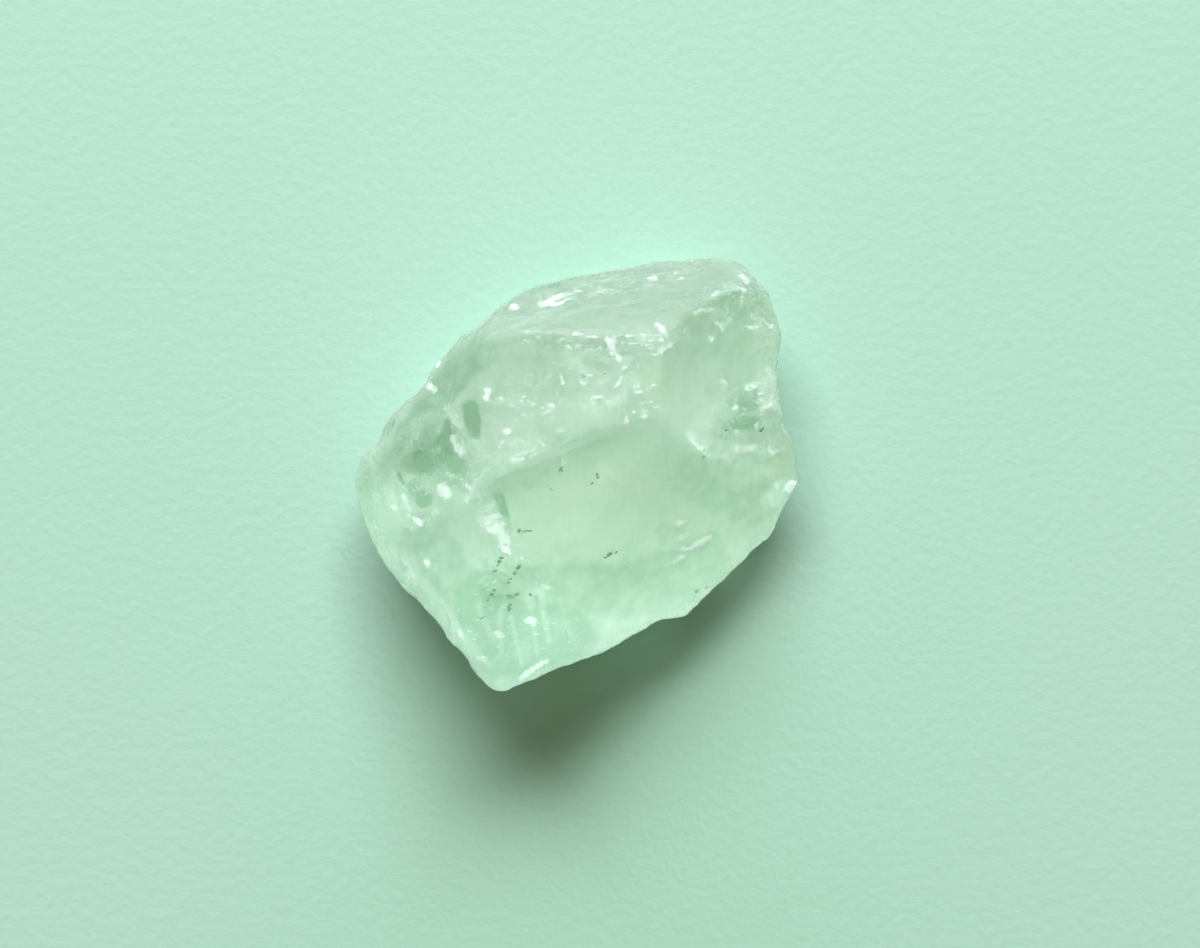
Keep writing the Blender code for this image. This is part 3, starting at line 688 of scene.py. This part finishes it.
normals = stone_points("normal")
keep_attribute("ribbed", stroke_weights(STRIATED))
keep_attribute("torn", stroke_weights(HACKLY))
keep_attribute("shaded", np.clip(-normals[:, 1] * SHADE_STEEPNESS, 0, 1))
keep_attribute("underside", np.clip(-normals[:, 2] * UNDER_STEEPNESS, 0, 1))

# %% [markdown]
# ## Colours and nodes
# Colours are written as the hex codes a paint program shows, and one function turns them into the linear
# light that Blender mixes. A second small function adds a node with its settings and its links. Some nodes
# have several sockets of one name, and then the number says which: a Mix node takes its factor at 0, two
# numbers at 2 and 3, two directions at 4 and 5 or two colours at 6 and 7, and hands them out at 0, 1 or 2.

# %% Hex to linear, and one node
def linear(code):
    """The linear colour of an sRGB hex code, with full alpha."""
    parts = [int(code[i : i + 2], 16) / 255 for i in (1, 3, 5)]
    return [c / 12.92 if c <= 0.04045 else ((c + 0.055) / 1.055) ** 2.4 for c in parts] + [1.0]


def node(tree, kind, inputs=None, **settings):
    """Adds a node. settings are its properties, and inputs are values or links by socket name or number."""
    made = tree.nodes.new(kind)
    for name, value in settings.items():
        setattr(made, name, value)
    for name, value in (inputs or {}).items():
        if isinstance(value, bpy.types.NodeSocket):
            tree.links.new(value, made.inputs[name])
        else:
            made.inputs[name].default_value = value
    return made


print("mid grey #808080 is", round(linear("#808080")[0], 3), "in linear light")

# %% [markdown]
# ## The crystal
# A see-through salt full of hairline cracks lets light in everywhere and hands it out again in all
# directions. It could be clear glass with a fog inside, which takes hours to clean up, or wax, which hides
# the depths. Plain transmission with a very rough inner surface gives the even, pale glow and still shows
# clear windows, and a thin smooth coat gives the small hard glints. The base colour tints the light a
# little each time it crosses the surface, so a pale tint on the underside colours the whole body.

# %% Start the crystal's material
# Potash alum, broken and not polished: milky and see-through at once, with a wet glint on each fresh face.
BODY = linear("#F2FFF7")
BODY_SHADE = linear("#DDF5E5")
BELOW_INSIDE = linear("#DFF0E2")
# painted shade: the outside of the underside is darker, so the belly that faces the low window doesn't
# outshine the paper
BELOW_OUTSIDE_PAINTED_SHADE = linear("#B8D2C1")

alum = bpy.data.materials.new("raw alum crystal, hand broken")
alum.use_nodes = True
tree = alum.node_tree
tree.nodes.clear()
place = node(tree, "ShaderNodeTexCoord").outputs["Object"]
every_mm = {"Vector": place, "Scale": (PER_MM, PER_MM, PER_MM)}
in_mm = node(tree, "ShaderNodeMapping", every_mm).outputs["Vector"]
print("material:", alum.name)

# %% [markdown]
# ## Slivers along the cleavage
# Alum breaks in slivers that lie along one direction. Every shard pattern below is read through coordinates
# that are turned to that direction and stretched, so the shards come out three times as long as they are
# wide. Real slivers go down to a few hundredths of a millimetre, so these are drawn as coarse as they need
# to be to show.

# %% Coordinates for slivers
CLEAVAGE_TURN = math.radians(35)
SLIVER_LONG, SLIVER_WIDE = 2.2, 0.7

cleaved = node(tree, "ShaderNodeMapping", {
    "Vector": place,
    "Rotation": (0, 0, -CLEAVAGE_TURN),
    "Scale": (PER_MM / SLIVER_LONG, PER_MM / SLIVER_WIDE, PER_MM / SLIVER_WIDE),
}).outputs["Vector"]
print(f"slivers are {SLIVER_LONG / SLIVER_WIDE:.1f} times as long as wide")

# %% [markdown]
# ## Masks with torn edges
# A painted mask has a smooth edge, which looks like spilt milk. In a crystal the edge of a veil is ragged,
# and a bright little face ends along slivers. So noise is added to the paint before it is cut at one half.
# Soft cuts are for clouds, and hard ones are for faces.

# %% One torn mask
NOISE_LOW, NOISE_HIGH = 0.3, 0.7  # the range that the cloud noise really fills
TEAR_DETAIL = 4.0


def torn_mask(name, tear_size, tear, edge, shards=False):
    """A painted mask, cut at one half after noise in tears or shards of tear_size mm is added to it.

    tear is the most that the noise adds or takes away, and edge is how soft the cut is.
    """
    paint = node(tree, "ShaderNodeAttribute", attribute_name=name).outputs["Fac"]
    if shards:
        slivers = {"Vector": cleaved, "Scale": 1 / tear_size}
        cells = node(tree, "ShaderNodeTexVoronoi", slivers).outputs["Color"]
        noise, low, high = node(tree, "ShaderNodeSeparateColor", {"Color": cells}).outputs["Red"], 0.0, 1.0
    else:
        clouds = {"Vector": in_mm, "Scale": 1 / tear_size, "Detail": TEAR_DETAIL}
        noise, low, high = node(tree, "ShaderNodeTexNoise", clouds).outputs["Fac"], NOISE_LOW, NOISE_HIGH
    shift = node(tree, "ShaderNodeMapRange", {
        "Value": noise, "From Min": low, "From Max": high, "To Min": -tear, "To Max": tear,
    }).outputs["Result"]
    added = node(tree, "ShaderNodeMath", {0: paint, 1: shift}, operation="ADD").outputs[0]
    cut = node(tree, "ShaderNodeMapRange", {"Value": added, "From Min": 0.5 - edge, "From Max": 0.5 + edge})
    return cut.outputs["Result"]


# %% All the masks
# veils, and painted light on shaded places
veil_and_painted_light = torn_mask("veil_and_painted_light", tear_size=0.7, tear=0.15, edge=0.5)
# clear depths, whose darker colour is partly painted shade
clear = torn_mask("clear", tear_size=1.4, tear=0.2, edge=0.4)
stain = torn_mask("stain", tear_size=3.0, tear=0.1, edge=0.5)
torn = torn_mask("torn", tear_size=1.0, tear=0.2, edge=0.3)
pane = torn_mask("pane", tear_size=0.5, tear=0.05, edge=0.05)
flash = torn_mask("flash", tear_size=0.4, tear=0.24, edge=0.05, shards=True)
spark = torn_mask("spark", tear_size=0.35, tear=0.18, edge=0.04, shards=True)
crack = torn_mask("crack", tear_size=0.3, tear=0.16, edge=0.06, shards=True)
fleck = torn_mask("fleck", tear_size=0.24, tear=0.35, edge=0.02, shards=True)
under = node(tree, "ShaderNodeAttribute", attribute_name="underside").outputs["Fac"]
shaded = node(tree, "ShaderNodeAttribute", attribute_name="shaded").outputs["Fac"]
ribbed = node(tree, "ShaderNodeAttribute", attribute_name="ribbed").outputs["Fac"]
print("the masks took", len(tree.nodes), "nodes")

# %% [markdown]
# ## Cloudiness
# Between the veils the body isn't even: it has faint clouds, and fine feathers that run with the crystal,
# or with the ribs on the back band. Two noises are mixed, a round one and a stretched one, and they blend
# two tints that are close together, because the clouds are only just visible.

# %% Clouds and feathers
CLOUD = 2.5  # mm across
CLOUD_LOW, CLOUD_HIGH = 0.4, 0.6  # the narrow range of noise that goes from one tint to the other
CLOUD_DETAIL, STREAK_DETAIL = 6.0, 4.0
FINE_SHARE = 0.6  # how strong each finer layer of a noise is against the one before
STREAK_SHARE = 0.5  # how much of the cloudiness is feathers
FEATHER_WIDE, FEATHER_LONG = 0.32, 2.4  # mm
RIB_STREAK_LONG, RIB_STREAK_WIDE = 9.0, 0.5  # mm

clouds = node(tree, "ShaderNodeTexNoise", {
    "Vector": in_mm, "Scale": 1 / CLOUD, "Detail": CLOUD_DETAIL, "Roughness": FINE_SHARE,
}).outputs["Fac"]
feather = node(tree, "ShaderNodeMapping", {
    "Vector": place,
    "Scale": (PER_MM / FEATHER_WIDE, PER_MM / FEATHER_LONG, PER_MM / FEATHER_LONG),
}).outputs["Vector"]
along = node(tree, "ShaderNodeMapping", {
    "Vector": place,
    "Rotation": (0, 0, -RIB_TURN),
    "Scale": (PER_MM / RIB_STREAK_LONG, PER_MM / RIB_STREAK_WIDE, PER_MM / RIB_STREAK_WIDE),
}).outputs["Vector"]
run = node(tree, "ShaderNodeMix", {0: ribbed, 4: feather, 5: along}, data_type="VECTOR").outputs[1]
streaks = node(tree, "ShaderNodeTexNoise", {
    "Vector": run, "Scale": 1.0, "Detail": STREAK_DETAIL, "Roughness": FINE_SHARE,
}).outputs["Fac"]
mixed = node(tree, "ShaderNodeMix", {0: STREAK_SHARE, 2: clouds, 3: streaks}, data_type="FLOAT").outputs[0]
contrast = {"Value": mixed, "From Min": CLOUD_LOW, "From Max": CLOUD_HIGH}
cloudy = node(tree, "ShaderNodeMapRange", contrast).outputs["Result"]
print(f"clouds {CLOUD} mm across, feathers {FEATHER_WIDE} mm wide")

# %% [markdown]
# ## Painting in layers
# Colour, clearness and inner roughness are each built like layers in a paint program: a base, and then one
# Mix node for each mask, from the largest place to the smallest. A little face that looks at the window
# shines by itself and is painted a little whiter, but one in the shade only shows because it is painted
# white, a painted highlight, so two of the values change with the shade. The underside, the face that the
# stone lies on, comes first among the tints. Its inner side is pale and throws the light back up through the
# body, and its outer side is painted darker, a painted shade, or the belly would outshine the paper round it.

# %% Colour
WARM = linear("#F1FAE6")
# painted shade as well as clear depth: darker than the body where the shaded paper shows through and where
# faces would come out too bright
DEEP_AND_PAINTED_SHADE = linear("#A8D3B5")
# the white of the veils, also painted light where a veil stroke lightens a shaded face or a crease
WHITE = linear("#EFFFF5")
# the windows' darker green is partly painted shade from the paper under the crystal
PANE_WITH_PAINTED_SHADE = linear("#B0D2B8")
# painted highlights: sparks, flecks and little faces are painted whiter, and pure white in the shade
PAINTED_HIGHLIGHT_LIT = linear("#F0FFF8")
PAINTED_HIGHLIGHT_SHADED = linear("#FFFFFF")
PIT = linear("#87A484")

FLECK_SHARE = 0.9  # a fleck is a little fainter than a spark, because it is only a sliver

# the underside is pale inside and has painted shade outside
from_inside = node(tree, "ShaderNodeNewGeometry").outputs["Backfacing"]
two_sides = {0: from_inside, 6: BELOW_OUTSIDE_PAINTED_SHADE, 7: BELOW_INSIDE}
below = node(tree, "ShaderNodeMix", two_sides, data_type="RGBA").outputs[2]
faint = node(tree, "ShaderNodeMath", {0: fleck, 1: FLECK_SHARE}, operation="MULTIPLY").outputs[0]
painted_highlight = node(tree, "ShaderNodeMix", {0: shaded, 6: PAINTED_HIGHLIGHT_LIT, 7: PAINTED_HIGHLIGHT_SHADED}, data_type="RGBA").outputs[2]
colour = node(tree, "ShaderNodeMix", {0: cloudy, 6: BODY, 7: BODY_SHADE}, data_type="RGBA").outputs[2]
tints = (
    (under, below), (stain, WARM), (clear, DEEP_AND_PAINTED_SHADE), (veil_and_painted_light, WHITE),
    (pane, PANE_WITH_PAINTED_SHADE), (faint, painted_highlight), (flash, painted_highlight), (spark, painted_highlight), (crack, PIT),
)
for mask, tint in tints:
    colour = node(tree, "ShaderNodeMix", {0: mask, 6: colour, 7: tint}, data_type="RGBA").outputs[2]
print("colour layers:", len(tints) + 1)

# %% Clearness
CLEARNESS = 0.9  # the share of the light that goes in and isn't scattered at the surface
VEIL_LIT, VEIL_SHADED = 0.78, 1.0
# painted highlights scatter more at the surface where the window lights them, so their whiter paint shows
GLINT_LIT, GLINT_SHADED = 0.6, 0.95
PANE_CLEAR = 1.0
PIT_CLEAR = 0.3
BELOW_CLEAR = 0.12  # the underside lets hardly any light through

haze = node(tree, "ShaderNodeMix", {0: shaded, 2: VEIL_LIT, 3: VEIL_SHADED}, data_type="FLOAT").outputs[0]
glow = node(tree, "ShaderNodeMix", {0: shaded, 2: GLINT_LIT, 3: GLINT_SHADED}, data_type="FLOAT").outputs[0]
clearness = CLEARNESS
shares = (
    (veil_and_painted_light, haze), (pane, PANE_CLEAR), (faint, glow), (flash, glow), (spark, glow),
    (crack, PIT_CLEAR), (under, BELOW_CLEAR),
)
for mask, value in shares:
    clearness = node(tree, "ShaderNodeMix", {0: mask, 2: clearness, 3: value}, data_type="FLOAT").outputs[0]
print("clearness layers:", len(shares) + 1)

# %% Inner roughness
INNER_ROUGHNESS = 0.9
CLEAR_ROUGHNESS = 0.5
PANE_ROUGHNESS = 0.3

roughness = INNER_ROUGHNESS
for mask, value in ((clear, CLEAR_ROUGHNESS), (pane, PANE_ROUGHNESS)):
    roughness = node(tree, "ShaderNodeMix", {0: mask, 2: roughness, 3: value}, data_type="FLOAT").outputs[0]
print("from milky at", INNER_ROUGHNESS, "to nearly clear at", PANE_ROUGHNESS)

# %% [markdown]
# ## Grain
# Under the fingers the break feels like fine sugar. Real grains are a few hundredths of a millimetre, too
# fine to show, so they are drawn half a millimetre wide, with larger crumbs where the break is torn. A bump
# is enough, because the grains never show against the paper.

# %% Fine grain, as a bump
GRIT = 0.5  # mm
CRUMB = 0.6  # mm
CRUMB_SHARE = 2.0  # how much higher than the grit the crumbs stand
GRIT_DETAIL = 4.0
GRIT_HIGH = 0.045 * MM

grit = node(tree, "ShaderNodeTexNoise", {
    "Vector": in_mm, "Scale": 1 / GRIT, "Detail": GRIT_DETAIL, "Roughness": FINE_SHARE,
}).outputs["Fac"]
crumbs = node(tree, "ShaderNodeTexVoronoi", {"Vector": in_mm, "Scale": 1 / CRUMB}).outputs["Distance"]
torn_crumbs = node(tree, "ShaderNodeMath", {0: crumbs, 1: torn}, operation="MULTIPLY").outputs[0]
crumbs_too = {0: torn_crumbs, 1: CRUMB_SHARE, 2: grit}
relief = node(tree, "ShaderNodeMath", crumbs_too, operation="MULTIPLY_ADD").outputs[0]
bump = node(tree, "ShaderNodeBump", {"Height": relief, "Distance": GRIT_HIGH}).outputs["Normal"]
print(f"grain {GRIT} mm wide and {GRIT_HIGH / MM:.3f} mm high")

# %% [markdown]
# ## Small faces that catch the window
# The eye knows a crystal by its glints. Each comes from a tiny flat face that happens to lean towards the
# light. They are too many and too small to model, so the coat alone gets its own directions: on torn places
# each shard turns its own way, and in a spark or a flash every shard leans to the back, where the window
# is.

# %% Directions for the coat
SHARD = 0.45  # mm, before the stretch along the cleavage
SHARD_TURN = 1.0  # how much a shard's own direction counts beside the surface's
FACET_LOW, FACET_HIGH = math.radians(16), math.radians(32)  # how far they lean to the back

glints = flash
for mask in (spark, faint):
    glints = node(tree, "ShaderNodeMath", {0: glints, 1: mask}, operation="MAXIMUM").outputs[0]
shards = node(tree, "ShaderNodeTexVoronoi", {"Vector": cleaved, "Scale": 1 / SHARD}).outputs["Color"]
centred = node(tree, "ShaderNodeVectorMath", {0: shards, 1: (0.5, 0.5, 0.5)}, operation="SUBTRACT").outputs[0]
turned = node(tree, "ShaderNodeVectorMath", {0: centred, "Scale": SHARD_TURN}, operation="SCALE").outputs[0]
held = node(tree, "ShaderNodeVectorMath", {0: turned, "Scale": torn}, operation="SCALE").outputs[0]
added = node(tree, "ShaderNodeVectorMath", {0: bump, 1: held}, operation="ADD").outputs[0]
broken = node(tree, "ShaderNodeVectorMath", {0: added}, operation="NORMALIZE").outputs[0]

chance = node(tree, "ShaderNodeSeparateColor", {"Color": shards}).outputs["Green"]
leaning = {"Value": chance, "To Min": FACET_LOW, "To Max": FACET_HIGH}
lean = node(tree, "ShaderNodeMapRange", leaning).outputs["Result"]
back = node(tree, "ShaderNodeMath", {0: lean}, operation="SINE").outputs[0]
up = node(tree, "ShaderNodeMath", {0: lean}, operation="COSINE").outputs[0]
facet = node(tree, "ShaderNodeCombineXYZ", {"Y": back, "Z": up}).outputs["Vector"]
coat_normal = node(tree, "ShaderNodeMix", {0: glints, 4: broken, 5: facet}, data_type="VECTOR").outputs[1]
print("little faces lean", [round(math.degrees(a)) for a in (FACET_LOW, FACET_HIGH)], "degrees to the back")

# %% How much coat
COAT = 0.22
TORN_COAT = 0.2
GLINT_COAT = 0.6

coat = COAT
for mask, value in ((torn, TORN_COAT), (glints, GLINT_COAT)):
    coat = node(tree, "ShaderNodeMix", {0: mask, 2: coat, 3: value}, data_type="FLOAT").outputs[0]
print("coat from", TORN_COAT, "to", GLINT_COAT)

# %% [markdown]
# ## The crystal's shader
# One Principled shader takes all of it. The light bends by the index of real alum, and a thin absorption
# inside takes a little red and blue away on long paths, so thick places are greener than thin ones.

# %% Put the shader together
ALUM_IOR = 1.456
COAT_ROUGHNESS = 0.12
DEPTH_TINT = linear("#CFEBD6")
DEPTH_DENSITY = 1.0  # per metre, faint, because most of the tint is at the surface

body = node(tree, "ShaderNodeBsdfPrincipled", {
    "Base Color": colour,
    "Roughness": roughness,
    "IOR": ALUM_IOR,
    "Transmission Weight": clearness,
    "Coat Weight": coat,
    "Coat Roughness": COAT_ROUGHNESS,
    "Coat IOR": ALUM_IOR,
    "Normal": bump,
    "Coat Normal": coat_normal,
}).outputs["BSDF"]
absorbed = {"Color": DEPTH_TINT, "Density": DEPTH_DENSITY}
depth = node(tree, "ShaderNodeVolumeAbsorption", absorbed).outputs["Volume"]
node(tree, "ShaderNodeOutputMaterial", {"Surface": body, "Volume": depth})
stone.data.materials.append(alum)
print("the crystal took", len(tree.nodes), "nodes")

# %% Stand the stone in for the CAD solid
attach(stone, "root")
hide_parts("alum_stone")
print("triangles:", sum(len(face.vertices) - 2 for face in stone.data.polygons))

# %% [markdown]
# ## The paper
# The stone lies on a sheet of pale mint paper, heavy and uncoated. Its tooth is the mark of the felt that
# it dried on, soft bumps a millimetre across. The light comes in low enough to show them, so a bump on a
# plain sheet is all it takes. The sheet lies a hair below the stone, or the two flat faces would flicker.

# %% Lay the sheet
SHEET = 0.6  # m
SHEET_BELOW = 0.03 * MM
TOOTH_LONG, TOOTH_WIDE = 1.05, 1.0  # mm
TOOTH_HIGH = 0.042 * MM
TOOTH_DETAIL = 3.0

bpy.ops.object.select_all(action="DESELECT")
bpy.ops.mesh.primitive_plane_add(size=SHEET, location=(0, 0, -SHEET_BELOW))
paper = bpy.context.object
paper.name = "paper_sheet"
print("sheet:", SHEET, "m square")

# %% Colour and tooth of the paper
# Dyed pulp, felt dried and uncoated: an even, matt colour with a soft tooth, and no shine at any angle.
MINT = linear("#BBE3D1")
PAPER_ROUGHNESS = 0.9

stock = bpy.data.materials.new("pale mint paper, felt dried")
stock.use_nodes = True
pulp = stock.node_tree
pulp.nodes.clear()
sheet_place = node(pulp, "ShaderNodeTexCoord").outputs["Object"]
tooth_place = node(pulp, "ShaderNodeMapping", {
    "Vector": sheet_place, "Scale": (PER_MM / TOOTH_LONG, PER_MM / TOOTH_WIDE, PER_MM),
}).outputs["Vector"]
tooth = node(pulp, "ShaderNodeTexNoise", {
    "Vector": tooth_place, "Scale": 1.0, "Detail": TOOTH_DETAIL,
}).outputs["Fac"]
felt = node(pulp, "ShaderNodeBump", {"Height": tooth, "Distance": TOOTH_HIGH}).outputs["Normal"]
matt = node(pulp, "ShaderNodeBsdfPrincipled", {
    "Base Color": MINT, "Roughness": PAPER_ROUGHNESS, "Normal": felt,
}).outputs["BSDF"]
node(pulp, "ShaderNodeOutputMaterial", {"Surface": matt})
paper.data.materials.append(stock)
print(f"tooth: {TOOTH_WIDE} mm wide and {TOOTH_HIGH / MM:.3f} mm high")

# %% [markdown]
# ## The light
# A tall window stands behind the stone. It could be one soft box, but a shadow tells them apart: its soft
# edge changes colour, because the sky above and the bright ground below end at different heights. So two
# wide bands of light stand one above the other. The room itself sends back a faint, warm light into the
# shadow.

# %% Window light in two bands
WINDOW_AWAY = 1.6  # m
WINDOW_COMPASS = math.radians(94.5)  # from the right, going round over the back


def window_band(name, above, tall, across, energy, colour):
    """A soft light this many degrees above the table, and this many degrees tall and across."""
    rise = math.radians(above)
    flat = Vector((math.cos(WINDOW_COMPASS), math.sin(WINDOW_COMPASS), 0)) * math.cos(rise)
    towards = flat + Vector((0, 0, math.sin(rise)))
    lamp = bpy.data.lights.new(name, "AREA")
    lamp.shape = "RECTANGLE"
    lamp.size = 2 * WINDOW_AWAY * math.tan(math.radians(across / 2)) * math.cos(rise)
    lamp.size_y = 2 * WINDOW_AWAY * math.tan(math.radians(tall / 2))
    lamp.energy = energy
    lamp.color = linear(colour)[:3]
    band = bpy.data.objects.new(name, lamp)
    bpy.context.scene.collection.objects.link(band)
    band.location = towards * WINDOW_AWAY
    band.rotation_euler = towards.to_track_quat("Z", "Y").to_euler()
    print(f"{name}: {lamp.size:.2f} by {lamp.size_y:.2f} m, {energy} W")


window_band("sky_band", above=42.0, tall=24.0, across=60.0, energy=34.5, colour="#F2FDF9")
window_band("ground_band", above=8.0, tall=16.0, across=72.0, energy=28.0, colour="#F9CDFF")

# %% Light from the room
ROOM_TINT = linear("#FFF4BA")
ROOM_STRENGTH = 0.13

room = bpy.data.worlds.new("room")
room.use_nodes = True
room.node_tree.nodes["Background"].inputs["Color"].default_value = ROOM_TINT
room.node_tree.nodes["Background"].inputs["Strength"].default_value = ROOM_STRENGTH
bpy.context.scene.world = room
print("room light:", ROOM_STRENGTH)

# %% [markdown]
# ## The camera
# It looks straight down from about a third of a metre, with a lens long enough that the stone's high top
# isn't swollen. Light goes in and out of the crystal many times before it reaches the lens, so the paths
# are long.

# %% Camera
CAMERA_PLACE = (2.3 * MM, -0.25 * MM, 341.3 * MM)
LENS = 100  # mm
SENSOR = 36  # mm

lens = bpy.data.cameras.new("overhead")
lens.lens = LENS
lens.sensor_width = SENSOR
camera = bpy.data.objects.new("overhead", lens)
bpy.context.scene.collection.objects.link(camera)
camera.location = CAMERA_PLACE
bpy.context.scene.camera = camera
bpy.context.scene.view_settings.view_transform = "Standard"
print(f"the view is {SENSOR / LENS * CAMERA_PLACE[2] / MM:.1f} mm wide on the paper")

# %% How far light is followed
LIGHT_PATH = 24
PAPER_BOUNCES = 8

cycles = bpy.context.scene.cycles
cycles.max_bounces = LIGHT_PATH
cycles.glossy_bounces = LIGHT_PATH
cycles.transmission_bounces = LIGHT_PATH
cycles.diffuse_bounces = PAPER_BOUNCES
print("light is followed through", LIGHT_PATH, "surfaces")
